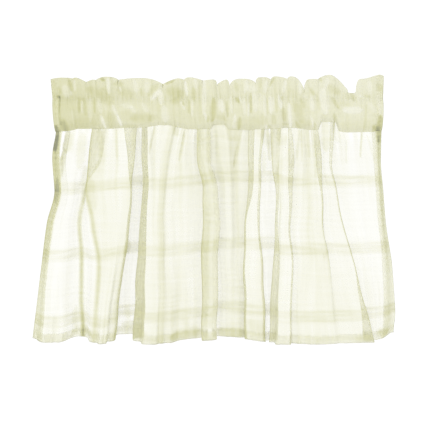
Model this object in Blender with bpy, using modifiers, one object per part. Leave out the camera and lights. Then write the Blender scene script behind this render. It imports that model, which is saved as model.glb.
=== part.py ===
"""Sheer rod-pocket window valance: a gathered drop below a ruffled heading.

Metres, +Z up, the front towards -Y. The origin is the middle of the heading's top edge.
The tables are in millimetres: x across the front, depths towards the room are negative.
"""

import math
from collections import namedtuple

import bpy

MM = 0.001

# Driving sizes, in millimetres below the top edge unless the name says otherwise
CLOTH_THICKNESS = 1.0
UPPER_STITCHING = 28.0
LOWER_STITCHING = 68.0
HEM = 356.0
SEWN_GAP = 1.1
DROP_ROWS = 8

# The rod pocket: half its depth, and half the distance between the layers where they are stitched
POCKET_HALF_DEPTH = 10.0
POCKET_SHOULDER = 8.6
STITCHED_HALF_DEPTH = 1.7
RUFFLE_HALF_DEPTH = 1.4
FOLD_EDGE_RISE = 1.0

# The heading's ends move in towards the lower stitching by these amounts
LEFT_DRAW_IN = 4.0
RIGHT_DRAW_IN = 0.5

# Share of the ideal turning radius that a fold uses, and the largest radius of a soft bend
TURN_SHARE = 0.9
LARGEST_RADIUS = 150.0

# Steps that a run of cloth gets in each of its two bends
BEND_STEPS = {"pleat": 3, "panel": 2, "crease": 1}

CLOTH_COLOUR = (0.83, 0.84, 0.68, 1.0)
HEADING_COLOUR = (0.78, 0.79, 0.61, 1.0)
CLOTH_ROUGHNESS = 0.9

# Heights at which each fold of the drop is placed, and at which its depth is given
PLACE_STATIONS = (68.0, 110.0, 150.0, 195.0, 255.0, 356.0)
DEPTH_STATIONS = (68.0, 195.0, 356.0)

Fold = namedtuple("Fold", "name run x68 x110 x150 x195 x255 x356 depth_top depth_middle depth_hem")

# Each row is a line down the drop where the cloth runs straight across, from left to right along the cloth.
# The run is the cloth that leads to it from the row above: a pleat doubles back, a panel or crease doesn't.
# At a pleat the places are those of its two turned edges, as they show from the front.
FOLDS = (
    Fold("left_edge", "crease", -214.0, -214.0, -216.0, -228.0, -237.0, -253.5, 4, 6, -5),
    Fold("left_hem_turn", "crease", -203.5, -206.0, -207.5, -219.0, -228.5, -236.5, -3, -4, -16),
    Fold("tuck_back", "crease", -196.5, -202.5, -203.0, -212.0, -221.5, -227.5, 3, -3, -13),
    Fold("tuck_front", "crease", -191.5, -198.5, -198.0, -205.5, -215.0, -220.0, -3, -4, -9),
    Fold("a_back", "panel", -146.0, -156.5, -175.0, -184.5, -185.0, -186.5, 3, 9, 14),
    Fold("b_front", "pleat", -165.5, -172.5, -171.5, -165.5, -160.5, -167.5, -4, -6, -15),
    Fold("b_swell", "crease", -145.5, -148.5, -150.5, -146.0, -146.5, -158.0, -4, -9, -22),
    Fold("crease_1", "crease", -132.5, -133.0, -135.0, -134.0, -140.0, -153.0, -2, -9, -21),
    Fold("c_front", "crease", -106.0, -107.0, -115.0, -117.5, -128.5, -142.0, -4, -8, -11),
    Fold("c_back", "pleat", -123.5, -119.0, -116.5, -119.0, -127.0, -138.0, 1, 8, 23),
    Fold("d_back", "crease", -92.5, -92.5, -93.5, -95.0, -98.5, -101.0, 4, 12, 23),
    Fold("d_front", "pleat", -100.0, -100.0, -100.5, -103.5, -109.5, -115.5, -4, -8, -9),
    Fold("d_swell", "crease", -89.0, -89.0, -89.5, -92.5, -94.5, -97.5, -4, -10, -22),
    Fold("crease_2", "crease", -81.0, -84.0, -84.5, -84.5, -83.5, -84.5, 1, -10, -20),
    Fold("e_front", "crease", -57.5, -68.0, -73.0, -74.0, -73.0, -75.0, -4, -12, -17),
    Fold("e_back", "crease", -52.0, -64.5, -70.5, -71.0, -70.0, -70.0, 2, -5, -9),
    Fold("crease_3", "crease", -43.0, -49.5, -51.5, -50.5, -49.5, -48.5, -3, 0, 0),
    Fold("f_inner_left", "panel", -19.5, -17.5, -9.0, -9.5, -11.5, -13.5, 4, 8, 7),
    Fold("f_left", "pleat", -27.5, -26.0, -18.5, -18.5, -21.0, -21.5, -4, -7, -8),
    Fold("f_right", "panel", -8.5, -6.5, 5.5, 2.5, 0.0, -0.5, -4, -8, -9),
    Fold("f_inner_right", "pleat", -16.0, -14.0, -5.0, -5.5, -6.5, -6.5, 4, 8, 7),
    Fold("fg_swell", "panel", 11.0, 14.0, 15.5, 17.0, 17.0, 17.5, -3, -1, 4),
    Fold("crease_4", "crease", 29.5, 26.0, 25.0, 26.5, 26.5, 28.5, 3, 5, 2),
    Fold("g_back", "crease", 49.0, 48.5, 46.5, 39.0, 38.0, 41.0, 3, 5, 4),
    Fold("g_front", "pleat", 40.5, 40.5, 40.0, 37.0, 35.0, 38.0, -4, -5, -3),
    Fold("h_front", "crease", 62.0, 58.0, 57.0, 57.0, 61.5, 67.0, -4, -5, -4),
    Fold("h_back", "pleat", 57.5, 55.0, 53.5, 54.5, 58.5, 64.0, 2, 5, 3),
    Fold("i_back", "crease", 84.0, 82.5, 82.0, 82.5, 84.0, 83.0, 4, 10, 8),
    Fold("i_front", "pleat", 69.5, 71.5, 77.0, 78.0, 74.0, 71.0, -4, -6, -6),
    Fold("i_swell", "crease", 85.0, 85.5, 86.5, 86.5, 86.5, 83.0, -4, -10, -20),
    Fold("j_front", "crease", 97.5, 102.5, 101.5, 99.5, 101.0, 99.0, -5, -12, -22),
    Fold("j_back", "pleat", 93.0, 94.0, 96.5, 97.5, 99.0, 97.5, 1, -5, -16),
    Fold("j_after", "crease", 108.0, 112.0, 112.0, 111.0, 113.0, 113.0, -3, -9, -22),
    Fold("crease_5", "crease", 117.0, 120.0, 121.0, 122.0, 125.0, 129.0, 2, -10, -24),
    Fold("k_front", "crease", 138.5, 140.5, 139.0, 141.5, 149.0, 157.5, -4, -13, -22),
    Fold("k_back", "pleat", 131.0, 132.5, 137.0, 141.0, 152.5, 166.0, 2, -6, -19),
    Fold("l_front", "crease", 154.5, 151.5, 157.5, 168.5, 185.0, 214.5, -4, -12, -15),
    Fold("l_back", "pleat", 148.0, 148.5, 156.5, 168.0, 185.0, 201.0, 2, -3, -3),
    Fold("right_swell", "crease", 167.5, 172.5, 180.0, 190.5, 203.0, 217.0, -4, -6, -5),
    Fold("right_crease", "crease", 189.5, 192.0, 195.5, 203.0, 213.0, 223.0, 2, -2, -3),
    Fold("right_hem_turn", "crease", 207.5, 210.5, 214.5, 219.0, 225.5, 229.0, -3, -4, -4),
    Fold("right_edge", "crease", 218.5, 218.5, 223.0, 228.0, 239.0, 242.0, 4, 6, 8),
)

Gather = namedtuple("Gather", "x edge depth")

# Each row is a lobe or a dip of the ruffle: its place, how far its edge is below the top, and its depth.
GATHERS = (
    Gather(-218.0, 2.0, 2.0),
    Gather(-199.0, 0.0, -5.0),
    Gather(-190.5, 2.5, 2.0),
    Gather(-181.0, 0.5, -3.0),
    Gather(-169.5, 7.0, 4.5),
    Gather(-161.0, 2.5, -4.0),
    Gather(-154.0, 4.0, 3.0),
    Gather(-144.5, 0.0, -5.0),
    Gather(-132.5, 4.0, 4.0),
    Gather(-102.5, 1.0, -5.0),
    Gather(-73.0, 10.0, 4.0),
    Gather(-55.5, 1.0, -5.0),
    Gather(-42.5, 4.0, 4.5),
    Gather(-29.5, 1.0, -4.5),
    Gather(-20.5, 8.0, 4.0),
    Gather(-8.0, 4.0, -4.5),
    Gather(0.5, 10.5, 4.0),
    Gather(9.5, 3.0, -4.0),
    Gather(16.0, 12.0, 3.5),
    Gather(34.0, 2.5, -5.0),
    Gather(50.0, 9.0, 4.5),
    Gather(59.5, 0.0, -4.5),
    Gather(69.0, 2.5, 3.5),
    Gather(79.0, -1.0, -4.5),
    Gather(88.0, 2.5, 3.5),
    Gather(97.0, -1.0, -4.5),
    Gather(115.0, 19.0, 4.5),
    Gather(124.5, 2.5, -4.0),
    Gather(135.0, 3.5, 3.5),
    Gather(145.5, -3.5, -5.0),
    Gather(163.5, 11.5, 3.0),
    Gather(174.0, 18.0, -4.0),
    Gather(187.0, 1.5, 3.0),
    Gather(202.5, -1.5, -4.5),
    Gather(217.0, -1.5, 1.0),
)

# Where the heading is cut into columns, as shares of the way from one gather to the next
GATHER_SHARES = (0.2, 0.8)

Level = namedtuple("Level", "below half_depth wave")

# Each row is a level of one layer of the heading, from the lower stitching up to the ruffle.
HEADING_LEVELS = (
    Level(LOWER_STITCHING, STITCHED_HALF_DEPTH, 0.55),
    Level(60.0, POCKET_SHOULDER, 0.5),
    Level(48.0, POCKET_HALF_DEPTH, 0.5),
    Level(36.0, POCKET_SHOULDER, 0.5),
    Level(UPPER_STITCHING, STITCHED_HALF_DEPTH, 0.75),
)


def clear_scene():
    for existing in list(bpy.data.objects):
        bpy.data.objects.remove(existing, do_unlink=True)


def make_material(name, colour):
    made = bpy.data.materials.new(name)
    made.use_nodes = True
    shader = made.node_tree.nodes["Principled BSDF"]
    shader.inputs["Base Color"].default_value = colour
    shader.inputs["Roughness"].default_value = CLOTH_ROUGHNESS
    shader.inputs["Metallic"].default_value = 0.0
    return made


def slope_at(places, values, index):
    """Slope at a station that lets the curve through the stations overshoot none of them."""
    before = (values[index] - values[index - 1]) / (places[index] - places[index - 1])
    after = (values[index + 1] - values[index]) / (places[index + 1] - places[index])
    if before * after <= 0.0:
        return 0.0
    return 2.0 * before * after / (before + after)


def eased(places, values, place):
    """Value at a place on the smooth curve through the stations."""
    last = len(places) - 1
    place = min(max(place, places[0]), places[-1])
    index = 0
    while index < last - 1 and place > places[index + 1]:
        index += 1
    width = places[index + 1] - places[index]
    mean_slope = (values[index + 1] - values[index]) / width
    slope_in = slope_at(places, values, index) if index > 0 else mean_slope
    slope_out = slope_at(places, values, index + 1) if index + 1 < last else mean_slope
    t = (place - places[index]) / width
    rise = t * t * (3.0 - 2.0 * t)
    swing_in = t * (1.0 - t) * (1.0 - t) * width * slope_in
    swing_out = t * t * (1.0 - t) * width * slope_out
    return values[index] + (values[index + 1] - values[index]) * rise + swing_in - swing_out


def bend(centre_x, centre_y, radius, side, angles):
    """Points of a bend that starts or ends running straight across."""
    points = []
    for angle in angles:
        across = radius * math.sin(angle)
        back = radius * math.cos(angle)
        points.append((centre_x + across, centre_y - side * back))
    return points


def run_between(start, end, steps):
    """Points after start, up to end: two equal bends with a straight between them, running across at both ends."""
    across = end[0] - start[0]
    back = abs(end[1] - start[1])
    side = 1.0 if end[1] >= start[1] else -1.0
    forward = max(across, 0.0)
    radius = LARGEST_RADIUS
    if back > 0.0:
        radius = min(radius, TURN_SHARE * (forward * forward + back * back) / (4.0 * back))
    straight = math.sqrt(max(across * across + back * back - 4.0 * back * radius, 0.0))
    turn = math.atan2(back - 2.0 * radius, across) + math.atan2(2.0 * radius, straight)
    shares = [step / steps for step in range(steps + 1)]
    first = bend(start[0], start[1] + side * radius, radius, side, [share * turn for share in shares])
    second = bend(end[0], end[1] - side * radius, -radius, side, [(1.0 - share) * turn for share in shares])
    return first[1:] + second


def pleat_inset(start, end):
    """How far a pleat's straight runs end short of its turned edges. It fades out as the pleat opens."""
    back = abs(end[1] - start[1])
    opened = max(end[0] - start[0], 0.0) / max(back, CLOTH_THICKNESS)
    return TURN_SHARE * back / 4.0 * max(1.0 - opened, 0.0)


def drop_plan(below):
    """The cloth's path across the window, seen from above, at one height of the drop."""
    crests = []
    for fold in FOLDS:
        places = (fold.x68, fold.x110, fold.x150, fold.x195, fold.x255, fold.x356)
        depths = (fold.depth_top, fold.depth_middle, fold.depth_hem)
        crests.append([eased(PLACE_STATIONS, places, below), eased(DEPTH_STATIONS, depths, below)])
    for index in range(1, len(FOLDS)):
        if FOLDS[index].run == "pleat":
            inset = pleat_inset(crests[index - 1], crests[index])
            crests[index - 1][0] -= inset
            crests[index][0] += inset
    path = [tuple(crests[0])]
    for index in range(1, len(FOLDS)):
        steps = BEND_STEPS[FOLDS[index].run]
        path += run_between(crests[index - 1], crests[index], steps)
    return path


def drop_rows():
    """Rows of points from just under the stitching down to the hem."""
    top = LOWER_STITCHING + SEWN_GAP / 2.0
    rows = []
    for row in range(DROP_ROWS + 1):
        below = top + (HEM - top) * row / DROP_ROWS
        rows.append([(x, y, -below) for x, y in drop_plan(below)])
    return rows


def heading_columns():
    """Places across the heading, with the ruffle's edge and wave at each."""
    gathers_x = [gather.x for gather in GATHERS]
    edges = [gather.edge for gather in GATHERS]
    waves = [gather.depth for gather in GATHERS]
    places = [gathers_x[0]]
    for index in range(len(GATHERS) - 1):
        width = gathers_x[index + 1] - gathers_x[index]
        places += [gathers_x[index] + share * width for share in GATHER_SHARES]
    places.append(gathers_x[-1])
    return [(x, eased(gathers_x, edges, x), eased(gathers_x, waves, x)) for x in places]


def drawn_in(x, below):
    """The heading narrows a little towards the lower stitching."""
    share = below / LOWER_STITCHING
    width = GATHERS[-1].x - GATHERS[0].x
    from_left = (x - GATHERS[0].x) / width
    return x + share * (LEFT_DRAW_IN * (1.0 - from_left) - RIGHT_DRAW_IN * from_left)


def heading_layer(columns, side):
    """Rows of one layer of the heading, from the lower stitching up to just under its folded edge."""
    rows = []
    for level in HEADING_LEVELS:
        below = level.below - SEWN_GAP / 2.0 if level.below == LOWER_STITCHING else level.below
        rows.append(
            [(drawn_in(x, below), side * level.half_depth + level.wave * wave, -below) for x, _, wave in columns]
        )
    rows.append([(x, side * RUFFLE_HALF_DEPTH + wave, -(edge + FOLD_EDGE_RISE)) for x, edge, wave in columns])
    return rows


def heading_rows():
    """The double cloth: up the front, over the ruffle's edge and down the back, with the pocket left open."""
    columns = heading_columns()
    edge_row = [(x, wave, -edge) for x, edge, wave in columns]
    front = heading_layer(columns, -1.0)
    back = heading_layer(columns, 1.0)
    return front + [edge_row] + back[::-1]


def cloth_object(name, rows, material, collection, flip):
    """A sheet through the rows of points, thickened on both sides."""
    width = len(rows[0])
    points = [(x * MM, y * MM, z * MM) for row in rows for x, y, z in row]
    faces = []
    for row in range(len(rows) - 1):
        for column in range(width - 1):
            corner = row * width + column
            face = (corner, corner + 1, corner + width + 1, corner + width)
            faces.append(face[::-1] if flip else face)
    mesh = bpy.data.meshes.new(name)
    mesh.from_pydata(points, [], faces)
    mesh.update()
    made = bpy.data.objects.new(name, mesh)
    made.data.materials.append(material)
    collection.objects.link(made)
    thickness = made.modifiers.new("thickness", "SOLIDIFY")
    thickness.thickness = CLOTH_THICKNESS * MM
    thickness.offset = 0.0
    return made


def main():
    clear_scene()
    collection = bpy.data.collections.new("window_valance")
    bpy.context.scene.collection.children.link(collection)
    drop_cloth = make_material("sheer_cloth", CLOTH_COLOUR)
    heading_cloth = make_material("gathered_heading_cloth", HEADING_COLOUR)
    cloth_object("drop", drop_rows(), drop_cloth, collection, flip=True)
    cloth_object("heading", heading_rows(), heading_cloth, collection, flip=False)


main()
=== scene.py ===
"""Looks of the sheer rod-pocket valance: the gathered drop, the ruffled heading and a pale stage.

Lengths in the tables are in millimetres, as in the part. x runs across the front and depths towards the room
are negative. Everything that is built is in metres.
"""

import math
from collections import namedtuple

import bpy
import numpy as np
from bpy.props import FloatProperty, FloatVectorProperty, PointerProperty
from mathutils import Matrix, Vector


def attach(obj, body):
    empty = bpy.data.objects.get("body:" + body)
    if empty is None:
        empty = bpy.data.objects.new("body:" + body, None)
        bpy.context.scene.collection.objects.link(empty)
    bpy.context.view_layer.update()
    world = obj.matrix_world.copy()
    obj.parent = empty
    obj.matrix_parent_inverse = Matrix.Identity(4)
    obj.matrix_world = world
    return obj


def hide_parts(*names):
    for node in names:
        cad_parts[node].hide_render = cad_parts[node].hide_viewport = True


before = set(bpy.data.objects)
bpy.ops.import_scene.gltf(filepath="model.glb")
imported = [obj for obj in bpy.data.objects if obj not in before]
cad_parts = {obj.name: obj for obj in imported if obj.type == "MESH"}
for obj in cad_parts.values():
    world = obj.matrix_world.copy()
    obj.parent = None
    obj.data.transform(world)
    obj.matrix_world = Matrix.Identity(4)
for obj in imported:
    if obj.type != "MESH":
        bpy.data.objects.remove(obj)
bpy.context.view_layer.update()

bl_info = {
    "name": "Sheer valance",
    "version": (1, 0, 0),
    "blender": (4, 5, 0),
    "location": "3D View > Sidebar > Valance",
    "description": "Builds a sheer gathered valance with a rod pocket and a ruffled heading",
    "category": "Add Mesh",
}

MM = 0.001


def rows_of(kind, *rows):
    """The rows of a table, with a name for each column."""
    return [kind(*row) for row in rows]


# Lines across the valance, below its top edge
UPPER_STITCHING = 28.0
LOWER_STITCHING = 68.0
HEM = 356.0

# Heights at which the tables give places and depths of the folds, and how thickly the cloth crowds
PLACE_STATIONS = (68.0, 110.0, 150.0, 195.0, 255.0, 356.0)
DEPTH_STATIONS = (68.0, 195.0, 356.0)
CROWDING_STATIONS = (110.0, 210.0, 300.0)

# How round the folds are: the share of the roundest bend that fits, its largest radius and its steps
TURN_SHARE = 0.9
LARGEST_RADIUS = 150.0
BEND_STEPS = 10

# Share of its depth that the drop keeps where it is sewn, how far down it takes to gain the rest, and how far
# it reaches up behind the stitching
SEAM_DEPTH = 0.4
SEAM_REACH = 14.0
SEAM_OVERLAP = 0.4

# How far from its line a sag of the lower stitching, or of the hem, pulls the cloth
SAG_REACH = 16.0
HEM_REACH = 55.0

# How far in from the side edges the waves take to start, and how far down the swells and the sway do
EDGE_REACH = 30.0
SWELL_REACH = 90.0
SWAY_REACH = 60.0

# How quickly the drop's gathers fade below the stitching, for most of them and for the long ones
GATHER_FADE = 22.0
LONG_GATHER_SHARE = 0.35
LONG_GATHER_FADE = 60.0

# The hem's right corner is drawn in
CORNER_DRAW_IN = 4.0
CORNER_FROM = 312.0
CORNER_REACH = 20.0

# The heading's ends are drawn in towards the lower stitching
LEFT_DRAW_IN = 4.0
RIGHT_DRAW_IN = 0.5

# The ruffle's folded edge: how far out its rows stand on the way over it, as shares of the layers' distance,
# its rounding, and how far it stays below the lobes' line
EDGE_TURNS = (0.75, 0.35)
EDGE_ROUNDING = 0.9
EDGE_BELOW = 1.6

# How far each lobe leans out over the dips beside it, as a share of its width, and how far from a dip's place
# the lean turns round
LOBE_SPREAD = 0.1
LOBE_TURN = 1.2

# The heading's rows of points are closer together than the drop's
HEADING_ROW_SHARE = 0.55

# How far the two turns of a hem, and the fold between them, lie behind the cloth, and the places of their
# rows as shares of the hem's width
HEM_OUTER = 0.95
HEM_FOLD = 0.72
HEM_INNER = 0.5
HEM_SHARES = (0.04, 0.3, 0.6, 0.92)

Wave = namedtuple("Wave", "height length drift phase")

# Waves of the cloth, and how far their lines lean on the way down
DROP_GATHERS = Wave(1.5, 11.0, 3.0, 0.7)
DROP_SWELLS = Wave(1.1, 47.0, 14.0, 1.9)
DROP_CRINKLES = Wave(0.16, 6.3, 2.0, 5.1)
DROP_SWAY = Wave(1.3, 83.0, 25.0, 3.3)
HEADING_FOLDS = Wave(0.8, 17.0, 8.0, 2.9)
HEADING_GATHERS = Wave(1.0, 8.3, 3.0, 1.3)
PUCKERS = Wave(1.0, 5.6, 1.2, 4.4)

# Height of the heading's gathers in front and behind, and the puckers along its two rows of stitching
FRONT_GATHERS = 0.4
BACK_GATHERS = 2.5
PUCKER_DEPTH = 0.45
PUCKER_REACH = 8.0
LOWER_PUCKERS = 0.5

# How thickly the drop's gathers crowd as streaks under the heading
DROP_STREAKS = Wave(0.6, 8.0, 2.5, 2.2)

WavePart = namedtuple("WavePart", "height length lean phase")

# Each row is a part of an uneven wave, as shares of the wave's own measures
WAVE_PARTS = rows_of(
    WavePart,
    (1.0, 1.0, 1.0, 1.0),
    (0.7, 1.62, -1.0, 2.3),
    (0.5, 0.71, 2.0, 4.1),
)

# The lines of a wave lean one way and back once in 2 pi times this height
LEAN_LENGTH = 71.0

# How thickly the threads crowd: the softness between two runs, the thinnest places, the heading's back layer,
# and how much more the cloth covers where it turns sideways
CROWDING_BLEND = 1.6
THINNEST_DROP = 0.15
THINNEST_FRONT = 2.1
BACK_CROWDING = 0.7
RUFFLE_THINNING = 0.15
PUCKER_CROWDING = 1.3
DROP_SIDE_COVER = 1.5
HEADING_SIDE_COVER = 1.15

# Marks: how strongly they crowd the heading, which partly paints shade and highlights on it, how sharp their
# sides are, how much a slim one tapers towards its ends, and how many half widths long it then is
MARK_CROWDING_AND_SHADE = 1.75
MARK_SHAPE = 3.2
MARK_TAPER = 0.6
SLIM_LENGTH = 4.0

Sewn = namedtuple("Sewn", "front_least front_share behind")

# How thickly a hem's front layer and the two turned behind it cover what is behind them
HEADING_SEWN = Sewn(0.0, 0.93, 0.25)
DROP_SEWN = Sewn(0.9, 1.15, 0.35)

# Bands of thicker threads across the flat cloth and down it: their middles, half widths and soft sides, how
# much those across waver, and the most that their course may rise, in metres
WEFT_BANDS = (0.1467, 0.238, 0.328)
WEFT_HALF = 0.0078
WEFT_SOFTNESS = 0.003
WARP_BANDS = (0.165, 0.335, 0.505)
WARP_HALF = 0.010
WARP_SOFTNESS = 0.005
WAVER_HEIGHT = 0.008
LARGEST_RISE = 0.02

Course = namedtuple("Course", "across rise")

# How far the bands across rise above their left end, at places across the flat cloth, in metres
BAND_COURSE = rows_of(
    Course,
    (0.0, 0.0),
    (0.03, 0.0),
    (0.10, 0.002),
    (0.17, 0.0085),
    (0.23, 0.0080),
    (0.30, 0.0100),
    (0.40, 0.0155),
    (0.45, 0.0155),
    (0.56, 0.0100),
    (0.705, 0.0115),
)

Grain = namedtuple("Grain", "across down detail")

# Unevenness of the flat cloth, in repeats per metre along it and down it
WARP_THREADS = Grain(620.0, 14.0, 2.0)
WEFT_THREADS = Grain(10.0, 700.0, 2.0)
CRINKLES = Grain(150.0, 9.0, 2.0)
SLUBS = Grain(16.0, 230.0, 3.0)
BAND_WAVER = Grain(9.0, 4.0, 1.0)
BAND_STREAKS = Grain(20.0, 210.0, 3.0)

# How strongly each shows in the thickness, in the bands and in the relief
THREAD_STRENGTH = 0.2
THREAD_BASE = 0.8
SLUB_STRENGTH = 0.8
STREAK_GAIN = 5.0
STREAK_LOSS = 1.25
FAINTEST_STREAK = 0.4
WARP_STRENGTH = 0.5
CRINKLE_RELIEF = 4.0
BAND_RELIEF = 0.8

# Thickness, in layers, where the cloth's colour starts to deepen, is deepest and is the darkest, as in
# corners, and how soon a band shows in full as the cover grows. The deepening is partly the colour of thick
# cloth and partly painted shade in folds, hems and corners
DEEPENS_FROM = 2.0
DEEPEST_AT = 9.0
DARKEST_AT = 15.0
BAND_COVER = 1.6

Finish = namedtuple("Finish", "slot unevenness bands relief")

DROP_FINISH = Finish("sheer_cloth", 1.0, 1.0, 0.0004)
HEADING_FINISH = Finish("heading_cloth", 0.34, 0.0, 0.0002)

# How many layers of sheer cloth a ray may pass
MOST_CLEAR_LAYERS = 48

# Distances between the columns and the rows of nodes in the editor
NODE_COLUMN = 220.0
NODE_ROW = 280.0

FOLD_FIELDS = "name x68 x110 x150 x195 x255 x356 depth_top depth_middle depth_hem pleat"
Fold = namedtuple("Fold", FOLD_FIELDS, defaults=(False,))

# Each row is a line down the drop where the cloth runs straight across, from left to right along the cloth.
# The cloth turns back on itself before a line that is marked True, and makes a pleat. There the places are
# those of the pleat's two turned edges, as they show from the front.
FOLDS = rows_of(
    Fold,
    ("left_edge", -213.5, -220, -218.5, -230, -239, -252.5, 4, 6, -5),
    ("left_hem_turn", -205.5, -208.5, -208.5, -219, -228.5, -236.5, -3, -4, -16),
    ("tuck_back", -196.5, -202.5, -203, -212, -221.5, -227.5, 3, -3, -13),
    ("tuck_front", -191.5, -198.5, -198, -205.5, -215, -220, -3, -4, -9),
    ("a_back", -146, -155, -178.5, -185.5, -186, -187.5, 3, 9, 14),
    ("b_front", -165.5, -171.5, -174, -166, -160.5, -167.5, -4, -6, -15, True),
    ("b_swell", -145.5, -148.5, -150.5, -146, -146.5, -158, -4, -9, -22),
    ("crease_1", -132.5, -133, -135, -134, -140, -153, -2, -9, -21),
    ("c_front", -106, -110, -114.5, -116.5, -127.5, -141, -4, -8, -11),
    ("c_back", -123.5, -119, -117, -120.5, -130, -141, 1, 8, 23, True),
    ("d_back", -92.5, -92.5, -93.5, -95, -98.5, -101, 4, 12, 23),
    ("d_front", -100, -100, -100.5, -103.5, -109.5, -115.5, -4, -8, -9, True),
    ("d_swell", -89, -89, -89.5, -92.5, -94.5, -97.5, -4, -10, -22),
    ("crease_2", -81, -84, -84.5, -84.5, -83.5, -84.5, 1, -10, -20),
    ("e_front", -58.5, -69, -74.5, -75.5, -75, -77, -4, -11, -14),
    ("e_back", -50, -60, -66, -67, -66.5, -67, 1, -6, -9),
    ("crease_3", -43, -49.5, -51.5, -50.5, -49.5, -48.5, -3, 0, 0),
    ("f_inner_left", -19.5, -18.5, -11.5, -10, -11.5, -13.5, 4, 8, 7),
    ("f_left", -27.5, -27, -19.5, -20.3, -21.5, -21.5, -4, -7, -8, True),
    ("f_right", -8.5, -8.5, 1, 3.3, 1, -0.5, -4, -8, -9),
    ("f_inner_right", -16, -15, -7, -4.5, -6.5, -6.5, 4, 8, 7, True),
    ("fg_swell", 11, 14, 15.5, 17, 17, 17.5, -3, -1, 4),
    ("crease_4", 29.5, 26, 25, 26.5, 26.5, 28.5, 3, 5, 2),
    ("g_back", 49, 48.5, 46.5, 39, 38, 41, 3, 5, 4),
    ("g_front", 40.5, 40.5, 40, 37, 35, 38, -4, -5, -3, True),
    ("h_front", 62, 58, 57, 57, 61.5, 67, -4, -5, -4),
    ("h_back", 57.5, 55, 53.5, 54.5, 58.5, 64, 2, 5, 3, True),
    ("i_back", 84, 82.5, 82, 82.5, 84, 83, 4, 10, 8),
    ("i_front", 69.5, 71.5, 77, 78, 74, 71, -4, -6, -6, True),
    ("i_swell", 85, 85.5, 86.5, 86.5, 86.5, 83, -4, -10, -20),
    ("j_front", 97.5, 101, 99.5, 98, 101, 99, -5, -12, -22),
    ("j_back", 93, 93.5, 94.5, 95.5, 99, 97.5, 1, -5, -16, True),
    ("j_after", 108, 112, 112, 111, 113, 113, -3, -9, -22),
    ("crease_5", 117, 120, 121, 122, 125, 129, 2, -10, -24),
    ("k_front", 132.5, 137.5, 139, 141.5, 149, 157.5, -4, -13, -22),
    ("k_back", 126, 130, 136.5, 141, 152.5, 166, 2, -6, -19, True),
    ("l_front", 154.5, 151.5, 157.5, 168.5, 185, 214.5, -4, -12, -15),
    ("l_back", 148, 148.5, 156.5, 168, 185, 201, 2, -3, -3, True),
    ("right_swell", 167.5, 172.5, 180, 190.5, 203, 217, -4, -6, -5),
    ("right_crease", 189.5, 192, 195.5, 203, 213, 223, 2, -2, -3),
    ("right_hem_turn", 207.5, 210.5, 214.5, 219, 225.5, 229, -3, -4, -4),
    ("right_edge", 216.5, 217, 221.5, 226.5, 237, 246, 2, 2, 2),
)

CROWDING_FIELDS = "name between_top between_middle between_hem line_top line_middle line_hem width"
Crowding = namedtuple("Crowding", CROWDING_FIELDS, defaults=(0, 0, 0, 2))

# Each row belongs to the fold line of the same row in FOLDS. It says how thickly the threads crowd in the run
# that ends at the line, how much more they crowd along the line itself, and half the width of that crease.
CROWDING = rows_of(
    Crowding,
    ("left_edge", 0, 0, 0, 1, 2.2, 0.8, 3),
    ("left_hem_turn", 4.9, 3.7, 2),
    ("tuck_back", 1, 0.8, 1.2, 0.6, 0, 0, 2.5),
    ("tuck_front", 0.9, 0.8, 0.8),
    ("a_back", 0.8, 0.7, 0.9, -0.5, 4.6, 6.6, 2.8),
    ("b_front", 1, 0.7, 1, 4, 4, 3.2, 3.2),
    ("b_swell", 2.4, 2, 1.7),
    ("crease_1", 1.6, 1.9, 2.2, 1, 0.3, 0, 2),
    ("c_front", 1.4, 1.9, 2.3, 1.2, 2, 2.8, 6),
    ("c_back", 1, 0.6, 0.5),
    ("d_back", 1.5, 1.1, 0.9),
    ("d_front", 3, 3, 3.6, 0.3, 0.3, 0.3, 2.5),
    ("d_swell", 1.7, 1.6, 2.1),
    ("crease_2", 1.7, 1.6, 2.1, 0.8, 0.2, 0, 2),
    ("e_front", 1.6, 1.6, 2, 1.8, 2.2, 1.8, 4.6),
    ("e_back", 1.9, 1.7, 2.3),
    ("crease_3", 1.9, 1.6, 2.5, 1, 0.1, 0, 2.5),
    ("f_inner_left", 2.2, 1.7, 2.2, -1.8, -1.4, -1.8, 7),
    ("f_left", 0.2, 0.2, 0.2, 1.4, 1.6, 1, 3),
    ("f_right", 3.7, 3.8, 3.3, -2, -1.8, -1, 6),
    ("f_inner_right", 0.2, 0.2, 0.2, -1.8, -1.8, -1.5, 7),
    ("fg_swell", 3.1, 1.8, 2.1),
    ("crease_4", 3, 2, 2.9, 1, 0.6, 0.2, 3),
    ("g_back", 2.4, 2.4, 3),
    ("g_front", 0.8, 0.8, 0.8, 1, 1.7, 2.8, 2.8),
    ("h_front", 1.8, 1.4, 2.3, 0.4, 1.1, 2, 4.2),
    ("h_back", 0.5, 0.6, 0.6),
    ("i_back", 1, 1.1, 1.1),
    ("i_front", 0.3, 0.9, 1.4, 0.8, 0.9, 1.2, 2.5),
    ("i_swell", 2.2, 1.5, 1.9),
    ("j_front", 1.3, 1.4, 1.7, 0.2, 0.5, 0.1, 4),
    ("j_back", 0.3, 0.6, 0.6),
    ("j_after", 2, 1.3, 2),
    ("crease_5", 2.2, 2, 2.1, 1.8, 0.5, 0, 3),
    ("k_front", 1.7, 2.1, 2.1, 0.4, 1.8, 0.1, 3.2),
    ("k_back", 0.6, 0.6, 2),
    ("l_front", 1.2, 1.2, 1.8, 0.7, 3.2, 2.2, 2.4),
    ("l_back", 0.5, 0.5, 0.8),
    ("right_swell", 1.2, 0.8, 1.5),
    ("right_crease", 0.8, 0.7, 1.2, 0.3, 0, 0, 2),
    ("right_hem_turn", 0.9, 0.7, 1.2),
    ("right_edge", 3.6, 2.6, 1.7, 0.2, 0.1, 0, 3),
)

Sag = namedtuple("Sag", "x drop")

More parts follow.
